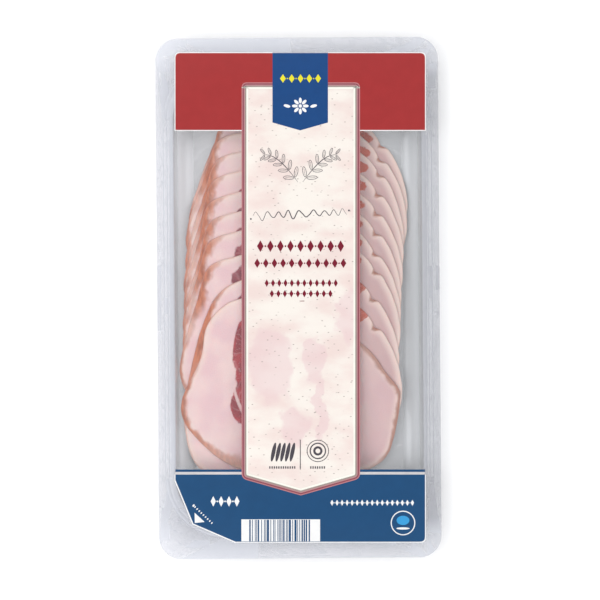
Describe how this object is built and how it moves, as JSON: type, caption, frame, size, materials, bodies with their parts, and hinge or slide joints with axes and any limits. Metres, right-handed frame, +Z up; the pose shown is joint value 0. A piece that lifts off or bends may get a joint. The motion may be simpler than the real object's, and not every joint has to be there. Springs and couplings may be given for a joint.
{
  "type": "sealed tray pack of sliced rolled pancetta",
  "caption": "Clear shallow tray with a wide rounded flange, sealed by a flat film with plain printed fields, holding shingled round slices of rolled pancetta",
  "frame": {"origin": "the middle of the bounding box's base, on the plane of the tray's flat floor", "axes": "+Z up, out of the lid; +Y along the pack towards its red-banded end; +X across it, to the right when the print is upright"},
  "size_m": [0.14, 0.258, 0.0164],
  "materials": {
    "tray_sheet": "clear, slightly grey thermoformed PET sheet, glossy",
    "lid_film": "clear peelable lid film, very glossy",
    "print_red": "flat red ink printed behind the film",
    "print_blue": "flat blue ink printed behind the film",
    "print_navy": "deeper blue ink printed behind the film",
    "print_cream": "thin cream white ink that lets the slices show faintly",
    "pancetta": "moist pink-white pork fat with red lean and an orange-brown spiced rim"
  },
  "bodies": {
    "root": {"tray": "tray_sheet", "lid_film": "lid_film", "print_red_left": "print_red", "print_red_right": "print_red", "print_tab": "print_navy", "print_panel": "print_cream", "print_line_left": "print_blue", "print_line_right": "print_blue", "print_blue": "print_blue", "slice_01": "pancetta", "slice_02": "pancetta", "slice_03": "pancetta", "slice_04": "pancetta", "slice_05": "pancetta", "slice_06": "pancetta", "slice_07": "pancetta", "slice_08": "pancetta", "slice_09": "pancetta", "slice_10": "pancetta", "slice_11": "pancetta"}
  },
  "joints": []
}
